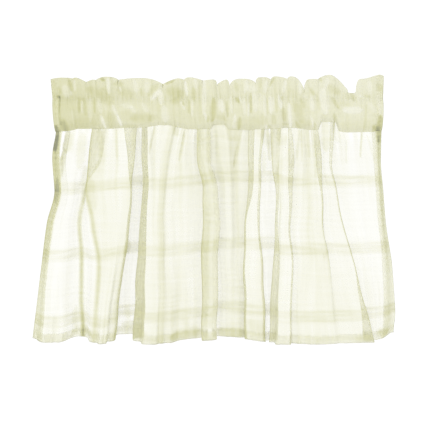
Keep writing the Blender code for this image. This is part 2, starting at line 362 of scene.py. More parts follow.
# Where the lower stitching sags below its straight line, or is drawn up above it
STITCHING_SAGS = rows_of(
    Sag,
    (-215, 3.5),
    (-196, 2.4),
    (-184, -0.4),
    (-140, -0.6),
    (-120, -1.6),
    (-96, -2.4),
    (-76, -5.2),
    (-62, -5),
    (-40, 0.2),
    (-9, -0.5),
    (-5, -6),
    (9, -6),
    (15, 0.5),
    (40, 1),
    (60, 0),
    (100, -2),
    (121, 1),
    (133, 1),
    (137, -9.5),
    (155, -9.5),
    (160, 3),
    (170, 4.4),
    (205, 3.6),
    (218, 2),
)

# Where the hem hangs below its straight line, or above it
HEM_SAGS = rows_of(
    Sag,
    (-254, -3.3),
    (-235, 0),
    (-216, 2.4),
    (-195, 0.5),
    (-120, 0),
    (-80, 1.5),
    (-62, 3),
    (-40, 0.5),
    (-20, 0),
    (3, -2.2),
    (26, -2.2),
    (45, 0),
    (69, 3.3),
    (85, 1.5),
    (110, 0),
    (218, 0),
    (229, -2.3),
    (242, -9),
)

Gather = namedtuple("Gather", "x depth")

# Each row is a lobe or a dip of the ruffle: its place and how far it stands towards the room or away from it
GATHERS = rows_of(
    Gather,
    (-218, 2),
    (-199, -5),
    (-190.5, 2),
    (-181, -3),
    (-169.5, 4.5),
    (-161, -4),
    (-154, 3),
    (-144.5, -5),
    (-132.5, 4),
    (-102.5, -5),
    (-73, 4),
    (-55.5, -5),
    (-42.5, 4.5),
    (-29.5, -4.5),
    (-20.5, 4),
    (-8, -4.5),
    (0.5, 4),
    (9.5, -4),
    (16, 3.5),
    (34, -5),
    (50, 4.5),
    (59.5, -4.5),
    (69, 3.5),
    (79, -4.5),
    (88, 3.5),
    (97, -4.5),
    (115, 4.5),
    (124.5, -4),
    (135, 3.5),
    (145.5, -5),
    (163.5, 3),
    (174, -4),
    (187, 3),
    (202.5, -4.5),
    (217, 1),
)

Lobe = namedtuple("Lobe", "left crest right left_edge top_edge right_edge left_round right_round")

# Each row is a lobe of the ruffle's edge: where it starts, crests and ends, how far its edge is below the top
# at the three places, and how round its two shoulders are.
LOBES = rows_of(
    Lobe,
    (-218.5, -203, -189.6, 2.1, -0.1, 1.4, 2, 2.5),
    (-189.6, -185, -172.1, 1.4, -0.1, 6.4, 2, 1.4),
    (-172.1, -162.8, -158.3, 6.4, 2.5, 3.3, 1.4, 2),
    (-158.3, -145.8, -130.2, 3.3, -1.3, 3.6, 2, 2.8),
    (-130.2, -100.1, -72, 3.6, 0.4, 9.9, 2.2, 2.2),
    (-72, -51.7, -43.9, 9.9, 0.9, 3.2, 1.5, 2),
    (-43.9, -36, -19.7, 3.2, -0.5, 4.2, 2.5, 1.6),
    (-19.7, -7.9, -0.7, 4.2, 2.4, 9.9, 1.6, 5),
    (-0.7, 11, 16.3, 9.9, 2.4, 12.2, 1.5, 2.4),
    (16.3, 33.9, 49.6, 12.2, 1.3, 7.9, 4, 2.6),
    (49.6, 60, 69.2, 7.9, -0.8, 2.9, 5, 2.2),
    (69.2, 75.1, 90.8, 2.9, -1.7, 2, 2, 2),
    (90.8, 96, 113.5, 2, -1.7, 20, 2, 2.4),
    (113.5, 127.4, 132.6, 20, 1.6, 1.8, 6.5, 2),
    (132.6, 146.9, 169.5, 1.8, -3.8, 18, 2, 1.5),
    (169.5, 176, 181, 18, 20, 19, 2, 2),
    (181, 191, 201, 19, 1.5, -1.2, 5, 1),
    (201, 211, 218, -1.2, -4, -1.3, 1, 2),
)

Level = namedtuple("Level", "below half_depth wave pinch")

# Each row is a level of one layer of the heading: half the distance between the layers, how much of the
# ruffle's wave it keeps, and how tightly the cloth is pinched there.
HEADING_LEVELS = rows_of(
    Level,
    (LOWER_STITCHING, 1, 0.2, 0.9),
    (64, 4.4, 0.15, 0.9),
    (60, 7, 0.15, 0.9),
    (48, 9.2, 0.15, 0.9),
    (36, 7, 0.15, 0.9),
    (31.5, 4.4, 0.2, 1),
    (UPPER_STITCHING, 1.2, 0.25, 1),
    (22, 1.5, 0.3, 0.9),
    (0, 1.6, 0.4, 0.8),
)

Front = namedtuple("Front", "x crowd")

# How thickly the heading's front layer is gathered from left to right
HEADING_CROWDING = rows_of(
    Front,
    (-218, 7),
    (-185, 6.6),
    (-160, 6),
    (-130, 5),
    (-95, 4.8),
    (-75, 4.6),
    (-55, 5),
    (0, 4.6),
    (60, 4.2),
    (90, 4.2),
    (110, 4.6),
    (135, 3.7),
    (150, 4.2),
    (185, 3.6),
    (205, 4.4),
    (218, 5),
)

Mark = namedtuple("Mark", "x below to_x to_below width push crowd")

# Each row is a soft ridge or trough of the heading's front layer between two places, from left to right: half
# its width, how far it stands towards the room, and how much more, or less, the threads crowd there. The
# crowding is partly real gathering and partly painted shade on the shaded sides of puffs and creases, and the
# thinner places are partly painted highlights.
HEADING_MARKS = rows_of(
    Mark,
    (-215, 5, -212, 62, 3.5, -0.4, 0.5),
    (-212, 62, -210, 74, 4.4, -0.5, 4),
    (-209, 25, -208.5, 26.5, 2.2, -0.5, 3.4),
    (-208, 14, -206, 22, 2.2, -0.4, 1),
    (-206.5, 24, -206.5, 46, 1.5, -0.6, 2.6),
    (-206.5, 46, -205.5, 60, 1.5, -0.4, 2),
    (-202, 58, -199, 66, 5.6, -1, 2.4),
    (-199, 14, -196, 23, 6, 1.5, -1.3),
    (-194, 4, -190.5, 18, 1.9, -0.6, 1.3),
    (-191.5, 19, -190.5, 23, 1.6, 0.4, -1),
    (-190, 42, -188, 62, 2.8, 1, -0.7),
    (-190, 60, -160, 60, 8, -0.3, 0.6),
    (-187, 4, -186.5, 18, 1.7, 0.6, -1.3),
    (-184, 28, -174, 29, 2.2, -0.4, 0.8),
    (-181, 30, -180.8, 46, 1.8, -0.6, 1.4),
    (-177, 31, -176.5, 46, 1.4, 0.5, -1.3),
    (-174, 30, -172, 50, 1.6, -0.4, 0.9),
    (-168, 16, -156, 22, 6, -0.5, 0.8),
    (-167, 28, -166, 58, 2.8, 1, -0.9),
    (-161, 27, -160.5, 46, 1.7, -0.6, 1.5),
    (-155, 30, -152, 46, 3.5, 0.8, -0.9),
    (-152, 50, -147, 68, 2.3, 1, -1.8),
    (-151, 2.5, -149, 4, 2.2, -0.5, 3),
    (-150, 18, -142, 34, 7.5, -0.4, 1),
    (-146, 32, -145.5, 42, 3, 0.5, -0.6),
    (-143, 2, -142, 22, 2.8, 1, -1.3),
    (-141, 48, -139, 66, 5.5, -0.8, 0.9),
    (-137, 36, -131, 50, 2.5, 0.8, -1.3),
    (-134, 9, -124, 9, 4, -0.6, 0.9),
    (-131, 50, -126, 64, 2.5, 1, -1.8),
    (-128, 18, -114, 24, 6.5, -1.2, 0.9),
    (-126.5, 14, -126, 18, 1.7, 0.4, -1.4),
    (-125, 65, -104, 65.5, 1.6, -0.4, 0.8),
    (-124, 36, -112, 38, 4, 0.8, -0.8),
    (-122, 50, -104, 54, 9, -1, 0.4),
    (-112, 40, -108, 45, 3.5, 0.8, -0.9),
    (-110, 54, -82, 55, 8, -0.8, 0.9),
    (-108, 4, -106, 20, 4, 0.8, -0.9),
    (-100, 15, -99, 25, 1.7, -0.6, 1.3),
    (-98, 35, -92, 44, 4, 0.6, -0.8),
    (-93, 6, -92, 20, 3.4, 0.5, -0.7),
    (-88, 50, -88, 60, 1.8, -0.6, 1),
    (-80, 10, -90, 24, 4, -0.8, 0.8),
    (-77, 32, -76, 62, 2.5, -0.5, 0.6),
    (-76, 17, -86, 29, 3.4, 1.2, -1.6),
    (-74, 20, -74, 36, 3, 0.8, -1.1),
    (-70, 38, -68, 62, 5.5, 1, -1),
    (-66, 9, -56, 4.5, 1.7, -0.5, 2.2),
    (-60, 19, -50, 22, 8.5, -1, 1.7),
    (-58, 31, -54, 32, 4.5, -0.6, 1.2),
    (-48, 32, -43, 42, 1.4, 0.5, -1.4),
    (-45, 34, -44.5, 35.5, 1.8, -0.4, 1.6),
    (-42, 6, -40, 24, 2.2, 1, -1.6),
    (-37.5, 30, -37.5, 46, 1.7, -0.6, 1.1),
    (-33.5, 30, -33, 50, 1.8, 0.6, -0.9),
    (-32, 14, -31, 30, 3, -0.6, 1.5),
    (-30, 3, -28, 14, 2.6, 0.4, -0.7),
    (-24, 12, -23, 60, 2.5, -0.4, 0.5),
    (-17, 4, -18, 48, 3.2, 1.2, -1.1),
    (-16, 46, -15, 56, 1.6, 0.5, -1.2),
    (-12, 50, -13, 58, 1.7, -0.6, 1.4),
    (-5, 28, -6, 60, 4, -0.8, 2.2),
    (2, 54, 10, 58, 5, -0.5, 0.7),
    (4, 30, 6, 45, 4, 1, -1.3),
    (12, 31, 13.5, 52, 1.5, -0.6, 1.3),
    (17, 26, 19, 46, 2.2, 0.5, -0.9),
    (23, 48, 21, 66, 2, 0.6, -1.2),
    (24, 8, 26, 18, 3.5, -0.4, 0.7),
    (24, 28, 28, 32, 2.6, -0.6, 1.9),
    (24, 60, 56, 60, 8, -0.3, 0.6),
    (29, 52, 28, 68, 2.4, -0.8, 1.7),
    (29.5, 26, 31, 34, 1.6, 0.5, -1.2),
    (34, 28, 36, 48, 2.4, 0.5, -0.8),
    (38, 5, 36, 20, 3, 0.5, -0.7),
    (40, 14, 48, 16, 5, 0.6, -0.6),
    (41, 34, 40, 50, 1.6, 0.5, -1.1),
    (43.5, 21, 43.5, 46, 1.7, -0.7, 1.4),
    (48, 22, 50, 44, 4, 0.8, -0.8),
    (50, 54, 62, 56, 6, -0.4, 0.5),
    (55, 22, 58, 46, 3.5, 0.6, -0.6),
    (56.5, 2, 56, 14, 1.8, -0.5, 0.9),
    (61, 24, 63, 50, 2.6, 0.5, -0.8),
    (64, 5, 62, 20, 2.4, 0.5, -0.8),
    (64.5, 30, 65.5, 48, 1.4, -0.4, 0.9),
    (64.5, 62, 64.5, 67, 1.4, 0.4, -1.5),
    (66, 63, 70, 66, 1.6, -0.4, 1.2),
    (68, 12, 73.5, 2, 1.6, -0.5, 1.5),
    (70, 26, 70, 46, 4, 1, -1.1),
    (73, 50, 74, 62, 3, -0.5, 0.9),
    (76, 30, 77, 46, 1.5, -0.4, 0.9),
    (80, 24, 83, 40, 2.6, 0.8, -1.3),
    (85, 26, 84, 29, 1.8, -0.5, 1.2),
    (86, 40, 88, 58, 2.6, -0.8, 1.4),
    (86, 62, 92, 63, 2.2, -0.5, 1.2),
    (88, 5, 86, 20, 2.2, 0.5, -0.9),
    (93, 34, 96, 68, 2.6, 1, -1.5),
    (94, 18, 102, 24, 5, -0.5, 0.4),
    (100, 30, 101, 46, 2, -0.4, 0.8),
    (102, 58, 108, 68, 2, -0.6, 1.2),
    (104, 36, 110, 58, 6, -0.8, 0.8),
    (106, 8, 109, 22, 2.4, 0.5, -0.8),
    (108, 62, 118, 60, 6, -0.4, 0.8),
    (109, 30, 113, 38, 3.5, -0.8, 0.8),
    (113, 24, 116, 27, 2.4, 0.3, -0.6),
    (121, 16, 126, 22, 2.8, -0.6, 1.4),
    (122, 27, 124, 42, 4, 0.8, -0.9),
    (122, 50, 126, 64, 1.7, 0.5, -1),
    (127, 58, 128, 68, 2, -0.6, 1.2),
    (130, 22, 133, 42, 2.6, -0.5, 0.7),
    (134, 1, 136, 5, 2, -0.5, 1.5),
    (138, 16, 141, 50, 5, 1.6, -1.1),
    (143, 2, 141, 14, 3.2, 0.5, -0.7),
    (147, 13, 157, 20, 5.5, -1.4, 0.9),
    (150, 27, 158, 40, 2.8, -1, 1.3),
    (152, 50, 154, 66, 2.2, -0.6, 1.3),
    (160, 34, 174, 36, 3, -0.4, 0.6),
    (164, 42, 188, 42, 4, 1.2, -1.5),
    (164, 60, 200, 60, 8, 0.5, 0.5),
    (168, 22, 172, 28, 4, -0.4, 0.7),
    (175, 21, 179, 30, 2.8, -0.8, 1.4),
    (187, 24, 187.5, 25.5, 1.6, 0.3, -1.4),
    (192, 24, 200, 26, 1.8, -0.4, 0.8),
    (194, 36, 192, 68, 1.4, -0.5, 0.9),
    (197, 6, 199, 20, 4, 0.5, -0.6),
    (198, 34, 206, 44, 4, 0.4, -0.6),
    (206, 62, 212, 70, 4.5, -1, 2.8),
    (210, 24, 212, 46, 2.6, 0.8, -1.2),
    (211, 12, 215, 18, 4.5, -0.5, 1.1),
    (213, 50, 213, 74, 4.4, -0.5, 3.4),
)

# The same for the drop: creases, and places where the cloth lies thicker or thinner than around them. Some of
# the thicker places are partly painted shade beside the folds and below the stitching.
DROP_MARKS = rows_of(
    Mark,
    (-238, 351, -204, 352, 8, 0, 1),
    (-221, 324, -221, 342, 6, 0, 0.7),
    (-213.5, 62, -216.5, 96, 5.5, -0.5, 5.5),
    (-213, 134, -217, 166, 4.4, -0.5, 2),
    (-203.5, 84, -207.5, 116, 1.3, -0.4, 1),
    (-202.8, 68, -207.6, 104, 1.9, 0.4, -2.4),
    (-202, 96, -209, 132, 3.4, -0.4, 2),
    (-196, 70, -200.5, 97, 6.6, -0.4, 2),
    (-196, 347, -176, 344, 7, 0, 1.8),
    (-193, 314, -195, 342, 5.5, 0, 1.1),
    (-184, 70, -188, 100, 9, 0, 0.4),
    (-177, 75, -183, 120, 6, 0, 1),
    (-176, 118, -181, 168, 4.5, -0.3, 1.1),
    (-173, 344, -164, 344, 6, 0, 1.5),
    (-168, 134, -164, 172, 6, -0.3, 1.5),
    (-158, 112, -166, 150, 6, -0.3, 0.6),
    (-156, 69, -152, 112, 5, -0.4, 0.8),
    (-133.8, 69, -133.1, 108, 1.6, -0.8, 1.4),
    (-130, 342, -114, 342, 6, 0, 1.6),
    (-126, 316, -124, 330, 5, 0, 0.8),
    (-121, 222, -123, 236, 4.5, -0.5, 1.4),
    (-106, 342, -98, 344, 6.5, 0, 1.3),
    (-82.8, 69, -89.5, 99, 1.6, -0.8, 1.6),
    (-62, 349, -22, 345, 8, 0, 2.2),
    (-57, 68, -54, 76, 4.5, -0.5, 1.5),
    (-46, 326, -42, 334, 6, 0, 0.7),
    (-43.9, 73, -50.7, 110, 1.8, -0.8, 1.6),
    (-28, 75, -20, 132, 4.5, -0.5, 0.3),
    (-24, 60, -22, 80, 3, -0.5, 0.6),
    (-18, 346, -4, 346, 8, 0, -1.2),
    (-6, 69, -10, 112, 4, 0.8, 0.4),
    (2, 349, 36, 349, 8, 0, 1.8),
    (14, 66, 22, 78, 8, 0, 1),
    (32, 69, 22, 118, 2, -1, 1.3),
    (38, 343, 66, 345, 6, 0, 0.9),
    (44, 332, 64, 338, 7.5, 0, 1.3),
    (56, 66, 66, 84, 9, 0, 1.1),
    (62, 98, 62.5, 124, 4, 0, 0.9),
    (66, 66, 70, 110, 2.4, -0.8, 1.6),
    (84, 66, 84, 84, 8, 0, 1.1),
    (84, 108, 82, 134, 3, -0.5, 0.9),
    (90, 78, 90, 124, 5, 0, 0.8),
    (97, 70, 87, 104, 3, 1, -0.5),
    (103, 96, 96, 124, 2.2, -0.7, 0.6),
    (108, 70, 104, 108, 1.8, -0.7, 1.2),
    (111, 69, 110.8, 110, 1.8, -0.8, 1.4),
    (119, 70, 121, 104, 1.8, -0.6, 0.8),
    (130, 76, 131, 126, 5, 0, 0.7),
    (141.5, 66, 143, 96, 6, 0, 1.5),
    (146, 230, 142, 238, 3.2, -0.4, 1.2),
    (156, 66, 158, 84, 5, 0, 0.9),
    (170, 79, 170.5, 113, 1.4, -0.6, 1),
    (190.5, 66, 190, 106, 1.3, -0.6, 2.8),
    (194, 350, 206, 352, 7, 0, 1.4),
    (197, 72, 208, 112, 1.5, -0.5, 0.8),
    (213, 64, 213.5, 84, 4.4, -0.5, 3.2),
    (224, 346, 234, 350, 6.5, 0, 3),
    (231, 318, 233, 340, 5, 0, 0.8),
)


# Curves and waves


def slope_at(places, values, index):
    before = (values[index] - values[index - 1]) / (places[index] - places[index - 1])
    after = (values[index + 1] - values[index]) / (places[index + 1] - places[index])
    if before * after <= 0.0:
        return 0.0
    return 2.0 * before * after / (before + after)


def eased(places, values, place):
    """Value at a place on the smooth curve through the stations, which overshoots none of them."""
    last = len(places) - 1
    place = min(max(place, places[0]), places[-1])
    index = 0
    while index < last - 1 and place > places[index + 1]:
        index += 1
    width = places[index + 1] - places[index]
    mean_slope = (values[index + 1] - values[index]) / width
    slope_in = slope_at(places, values, index) if index > 0 else mean_slope
    slope_out = slope_at(places, values, index + 1) if index + 1 < last else mean_slope
    t = (place - places[index]) / width
    rise = t * t * (3.0 - 2.0 * t)
    swing_in = t * (1.0 - t) * (1.0 - t) * width * slope_in
    swing_out = t * t * (1.0 - t) * width * slope_out
    return values[index] + (values[index + 1] - values[index]) * rise + swing_in - swing_out


def smooth_step(low, high, value):
    share = np.clip((value - low) / (high - low), 0.0, 1.0)
    return share * share * (3.0 - 2.0 * share)


def step_up(distance, softness):
    return 0.5 * (1.0 + np.tanh(distance / softness))


def hump(distance, reach):
    """1 at no distance, fading to 0 beyond the reach."""
    return np.exp(-((distance / reach) ** 2))


def ripple(along, down, wave):
    """An uneven wave along the cloth, whose lines lean a little on their way down."""
    lean = wave.drift * np.sin(down / LEAN_LENGTH + wave.phase)
    total = np.zeros(np.broadcast(along, down).shape)
    for part in WAVE_PARTS:
        turn = 2.0 * math.pi * (along + part.lean * lean) / (wave.length * part.length)
        total += part.height * np.sin(turn + part.phase * wave.phase)
    return wave.height * total / sum(part.height for part in WAVE_PARTS)


# The cloth's path across, seen from above


def run_between(start, end):
    """Points from start to end: two equal bends with a straight between them, running across at both ends."""
    across = end[0] - start[0]
    back = abs(end[1] - start[1])
    side = 1.0 if end[1] >= start[1] else -1.0
    forward = max(across, 0.0)
    radius = LARGEST_RADIUS
    if back > 0.0:
        radius = min(radius, TURN_SHARE * (forward * forward + back * back) / (4.0 * back))
    straight = math.sqrt(max(across * across + back * back - 4.0 * back * radius, 0.0))
    turn = math.atan2(back - 2.0 * radius, across) + math.atan2(2.0 * radius, straight)
    angles = np.linspace(0.0, turn, BEND_STEPS + 1)
    bend_x = radius * np.sin(angles)
    bend_y = side * radius * (1.0 - np.cos(angles))
    run_x = np.concatenate((start[0] + bend_x, end[0] - bend_x[::-1]))
    run_y = np.concatenate((start[1] + bend_y, end[1] - bend_y[::-1]))
    return np.column_stack((run_x, run_y))


def path_lengths(path):
    steps = np.hypot(*np.diff(path, axis=0).T)
    return np.concatenate(([0.0], np.cumsum(steps)))


def resampled(path, count):
    """The same path in equal steps."""
    lengths = path_lengths(path)
    wanted = np.linspace(0.0, lengths[-1], count + 1)
    return np.column_stack([np.interp(wanted, lengths, axis) for axis in path.T])


Plans = namedtuple("Plans", "points along places crests")


def plans_through(crest_rows, column_size):
    """Paths of all rows in shared columns, with the columns' places in the flat cloth and in each row."""
    runs = []
    for crests in crest_rows:
        runs.append([run_between(start, end) for start, end in zip(crests[:-1], crests[1:])])
    run_lengths = np.array([[path_lengths(run)[-1] for run in row] for row in runs])
    counts = np.maximum(np.ceil(run_lengths.max(axis=0) / column_size).astype(int), 2)
    rows = []
    for row in runs:
        pieces = [row[0][:1]]
        pieces += [resampled(run, count)[1:] for run, count in zip(row, counts)]
        rows.append(np.concatenate(pieces))
    crests = np.column_stack((np.zeros(len(runs)), np.cumsum(run_lengths, axis=1)))
    crest_columns = np.concatenate(([0], np.cumsum(counts)))
    columns = np.arange(crest_columns[-1] + 1)
    places = np.array([np.interp(columns, crest_columns, row) for row in crests])
    return Plans(np.array(rows), np.interp(columns, crest_columns, crests.mean(axis=0)), places, crests)


# The surface and its marks


def surface_normals(grid):
    """Unit normals of a grid of points, towards the side that faces the room where the cloth lies flat."""
    normals = np.cross(np.gradient(grid, axis=0), np.gradient(grid, axis=1))
    sizes = np.linalg.norm(normals, axis=2, keepdims=True)
    return normals / np.maximum(sizes, 1e-12)


def cover_of(normals, limit):
    """How thickly the cloth covers what is behind it: it closes up where it turns towards the side."""
    level_size = np.hypot(normals[:, :, 0], normals[:, :, 1])
    facing = np.abs(normals[:, :, 1]) / np.maximum(level_size, 1e-6)
    return 1.0 / np.clip(facing, 1.0 / limit, 1.0)


def marks_over(marks, x, below):
    """How far the marks push the cloth towards the room at each point, and how much they crowd it, which
    partly paints shade and highlights.
    """
    push = np.zeros(x.shape)
    crowd = np.zeros(x.shape)
    for mark in marks:
        run_x = mark.to_x - mark.x
        run_down = mark.to_below - mark.below
        length = math.hypot(run_x, run_down)
        share = ((x - mark.x) * run_x + (below - mark.below) * run_down) / (length * length)
        share = np.clip(share, 0.0, 1.0)
        distance = np.hypot(x - mark.x - share * run_x, below - mark.below - share * run_down)
        slimness = min(length / (SLIM_LENGTH * mark.width), 1.0)
        taper = 1.0 - MARK_TAPER * slimness * (1.0 - 2.0 * np.sqrt(share * (1.0 - share)))
        weight = np.exp(-((distance / (mark.width * taper)) ** MARK_SHAPE))
        push += mark.push * weight
        crowd += mark.crowd * weight
    return push, crowd


def sag_at(sags, line, reach, x, below):
    """How far the cloth near a line hangs below its straight course."""
    drops = np.interp(x, [sag.x for sag in sags], [sag.drop for sag in sags])
    return drops * hump(below - line, reach)


Sheet = namedtuple("Sheet", "points normals along down cover")


# The drop


def pleat_inset(start, end):
    """How far a pleat's crests move apart, so that its turned edges show at the table's places."""
    back = abs(end[1] - start[1])
    opened = max(end[0] - start[0], 0.0) / max(back, 1.0)
    return TURN_SHARE * back / 4.0 * max(1.0 - opened, 0.0)


def drop_crests(below):
    """The crests at one height, and how far past each crest its turned edge shows, along the cloth."""
    crests = []
    turned = [0.0] * len(FOLDS)
    for fold in FOLDS:
        places = (fold.x68, fold.x110, fold.x150, fold.x195, fold.x255, fold.x356)
        depths = (fold.depth_top, fold.depth_middle, fold.depth_hem)
        crests.append([eased(PLACE_STATIONS, places, below), eased(DEPTH_STATIONS, depths, below)])
    for index in range(1, len(FOLDS)):
        if FOLDS[index].pleat:
            inset = pleat_inset(crests[index - 1], crests[index])
            crests[index - 1][0] -= inset
            crests[index][0] += inset
            turned[index - 1] += 0.5 * math.pi * inset
            turned[index] -= 0.5 * math.pi * inset
    return crests, turned


def column_down(values, belows):
    """The crowding at each height of the drop, as one column."""
    return np.array([eased(CROWDING_STATIONS, values, below) for below in belows])[:, None]


def drop_crowding(plans, turned, belows):
    """How thickly the threads crowd at each point of the drop, from the table's runs and crease lines."""
    edges = plans.crests + turned
    crowd = np.zeros(plans.places.shape)
    for index, row in enumerate(CROWDING):
        past_line = plans.places - edges[:, index, None]
        line = column_down((row.line_top, row.line_middle, row.line_hem), belows)
        crowd += line * hump(past_line, row.width)
        if index > 0:
            past_start = plans.places - edges[:, index - 1, None]
            begun = step_up(past_start, CROWDING_BLEND) if index > 1 else 1.0
            ended = step_up(past_line, CROWDING_BLEND) if index < len(CROWDING) - 1 else 0.0
            between = column_down((row.between_top, row.between_middle, row.between_hem), belows)
            crowd += between * (begun - ended)
    return crowd


def drop_sheet():
    """The drop's cloth without its turned hems."""
    sizes = bpy.context.scene.valance_sizes
    row_count = int(round((HEM - LOWER_STITCHING) / (sizes.row_step / MM)))
    belows = np.linspace(LOWER_STITCHING - SEAM_OVERLAP, HEM, row_count + 1)
    levels = [drop_crests(below) for below in belows]
    plans = plans_through([crests for crests, _ in levels], sizes.column_step / MM)
    x = plans.points[:, :, 0]
    down = np.repeat(belows[:, None], len(plans.along), axis=1)
    along = np.repeat(plans.along[None, :], len(belows), axis=0)
    from_right = along.max() - along
    from_stitching = down - LOWER_STITCHING
    fade = np.exp(-from_stitching / GATHER_FADE)
    fade += LONG_GATHER_SHARE * np.exp(-from_stitching / LONG_GATHER_FADE)
    loose = smooth_step(0.0, EDGE_REACH, along) * smooth_step(0.0, EDGE_REACH, from_right)
    waves = fade * ripple(along, down, DROP_GATHERS) + ripple(along, down, DROP_CRINKLES)
    waves += smooth_step(0.0, SWELL_REACH, from_stitching) * ripple(along, down, DROP_SWELLS)
    sway = smooth_step(0.0, SWAY_REACH, from_stitching) * ripple(down, along, DROP_SWAY)
    corner = smooth_step(CORNER_FROM, HEM, down) ** 2 * hump(from_right, CORNER_REACH)
    held = SEAM_DEPTH + (1.0 - SEAM_DEPTH) * smooth_step(0.0, SEAM_REACH, from_stitching)
    push, marked_crowd_and_shade = marks_over(DROP_MARKS, x, down)
    grid = np.empty(down.shape + (3,))
    grid[:, :, 0] = x + loose * sway - CORNER_DRAW_IN * corner
    grid[:, :, 1] = held * (plans.points[:, :, 1] + loose * waves) - push
    grid[:, :, 2] = -down - sag_at(STITCHING_SAGS, LOWER_STITCHING, SAG_REACH, x, down)
    grid[:, :, 2] -= sag_at(HEM_SAGS, HEM, HEM_REACH, x, down)
    normals = surface_normals(grid)
    turned = np.array([edges for _, edges in levels])
    # The drop's marks partly paint shade beside the folds
    crowd = drop_crowding(plans, turned, belows) + marked_crowd_and_shade + fade * ripple(along, down, DROP_STREAKS)
    cover = np.maximum(crowd, THINNEST_DROP) * cover_of(normals, DROP_SIDE_COVER)
    return Sheet(grid, normals, along, down, cover)


# The heading


def lobe_spread(x):
    """How far the ruffle's edge leans out from each lobe's crest, so that the lobes overlap at the dips."""
    places = []
    shifts = []
    for lobe in LOBES:
        places += [lobe.left + LOBE_TURN, lobe.crest, lobe.right - LOBE_TURN]
        shifts += [LOBE_SPREAD * (lobe.left - lobe.crest), 0.0, LOBE_SPREAD * (lobe.right - lobe.crest)]
    shifts[0] = 0.0
    shifts[-1] = 0.0
    return np.interp(x, places, shifts)


def lobe_edge(x):
    """How far the ruffle's edge is below the top at a place."""
    lobe = next((lobe for lobe in LOBES if x <= lobe.right), LOBES[-1])
    if x < lobe.crest:
        share = (lobe.crest - x) / (lobe.crest - lobe.left)
        rise = (lobe.left_edge - lobe.top_edge) * min(share, 1.0) ** lobe.left_round
    else:
        share = (x - lobe.crest) / (lobe.right - lobe.crest)
        rise = (lobe.right_edge - lobe.top_edge) * min(share, 1.0) ** lobe.right_round
    return lobe.top_edge + rise


def heading_crests(level, side):
    share = level.below / LOWER_STITCHING
    width = GATHERS[-1].x - GATHERS[0].x
    crests = []
    for gather in GATHERS:
        from_left = (gather.x - GATHERS[0].x) / width
        draw_in = LEFT_DRAW_IN * (1.0 - from_left) - RIGHT_DRAW_IN * from_left
        crests.append((gather.x + share * draw_in, side * level.half_depth + level.wave * gather.depth))
    return crests


def heading_level(below):
    """All the measures of the heading at one level, eased between the table's rows."""
    rows = HEADING_LEVELS[::-1]
    places = [row.below for row in rows]
    measures = [eased(places, [getattr(row, name) for row in rows], below) for name in Level._fields[1:]]
    return Level(below, *measures)


def heading_rows():
    """Heights of the rows up the heading's back and down its front, and their sides: 1 behind, -1 before."""
    step = HEADING_ROW_SHARE * bpy.context.scene.valance_sizes.row_step / MM
    pocket_rows = int(round((LOWER_STITCHING - UPPER_STITCHING) / step))
    ruffle_rows = int(round(UPPER_STITCHING / step))
    pocket = np.linspace(LOWER_STITCHING, UPPER_STITCHING, pocket_rows + 1)
    ruffle = np.linspace(UPPER_STITCHING, 0.0, ruffle_rows + 1)[1:]
    rising = np.concatenate((pocket, ruffle))
    rising_side = np.concatenate((np.ones(len(rising)), EDGE_TURNS))
    belows = np.concatenate((rising, np.zeros(2 * len(EDGE_TURNS) + 1), rising[::-1]))
    return belows, np.concatenate((rising_side, [0.0], -rising_side[::-1]))


def heading_waves(along, path, in_front):
    """The heading's finer folds and gathers, which lie flat along the side hems."""
    side_hem = bpy.context.scene.valance_sizes.side_hem / MM
    loose = smooth_step(side_hem, 2.0 * side_hem, np.minimum(along, along.max() - along))
    gathers = np.where(in_front, FRONT_GATHERS, BACK_GATHERS) * ripple(along, path, HEADING_GATHERS)
    return loose * (ripple(along, path, HEADING_FOLDS) + gathers)


def heading_sheet():
    """The heading's double cloth, from the lower stitching up the back, over the edge and down the front."""
    sizes = bpy.context.scene.valance_sizes
    belows, sides = heading_rows()
    levels = [heading_level(below) for below in belows]
    crest_rows = [heading_crests(level, side) for level, side in zip(levels, sides)]
    plans = plans_through(crest_rows, sizes.column_step / MM)
    x = plans.points[:, :, 0]
    flat_along = plans.along * sizes.flat_width / MM / plans.along[-1]
    along = np.repeat(flat_along[None, :], len(belows), axis=0)
    in_front = (sides < 0.0)[:, None]
    path = belows[:, None] * np.where(in_front, 1.0, -1.0)
    lift = (1.0 - np.minimum(belows, UPPER_STITCHING) / UPPER_STITCHING)[:, None]
    edge = np.array([lobe_edge(place) for place in x[np.argmin(belows)]])
    rounding = EDGE_ROUNDING * (1.0 - np.abs(sides))[:, None]
    heights = belows[:, None] + lift * (edge[None, :] + EDGE_BELOW) - rounding
    near_stitches = hump(belows - UPPER_STITCHING, PUCKER_REACH)
    near_stitches += LOWER_PUCKERS * hump(belows - LOWER_STITCHING, PUCKER_REACH)
    puckers = near_stitches[:, None] * ripple(along, path, PUCKERS)
    push, marked_crowd_and_shade = marks_over(HEADING_MARKS, x, heights)
    push -= PUCKER_DEPTH * puckers
    pinch = np.array([level.pinch for level in levels])[:, None]
    grid = np.empty(along.shape + (3,))
    grid[:, :, 0] = x + lift**2 * lobe_spread(x)
    grid[:, :, 1] = plans.points[:, :, 1] + pinch * heading_waves(along, path, in_front) - in_front * push
    grid[:, :, 2] = -heights - sag_at(STITCHING_SAGS, LOWER_STITCHING, SAG_REACH, x, heights)
    normals = surface_normals(grid)
    steps = np.linalg.norm(np.diff(grid, axis=0), axis=2).mean(axis=1)
    down = np.repeat(np.concatenate(([0.0], np.cumsum(steps)))[:, None], along.shape[1], axis=1)
    gathered = np.interp(x, [row.x for row in HEADING_CROWDING], [row.crowd for row in HEADING_CROWDING])
    gathered *= 1.0 - RUFFLE_THINNING * lift
    # The marks' crowding partly paints shade and highlights on the heading
    gathered += MARK_CROWDING_AND_SHADE * marked_crowd_and_shade + PUCKER_CROWDING * puckers
    crowd = np.where(in_front, np.maximum(gathered, THINNEST_FRONT), BACK_CROWDING)
    return Sheet(grid, normals, along, down, crowd * cover_of(normals, HEADING_SIDE_COVER))


# Hems

Turn = namedtuple("Turn", "inset offset beyond")


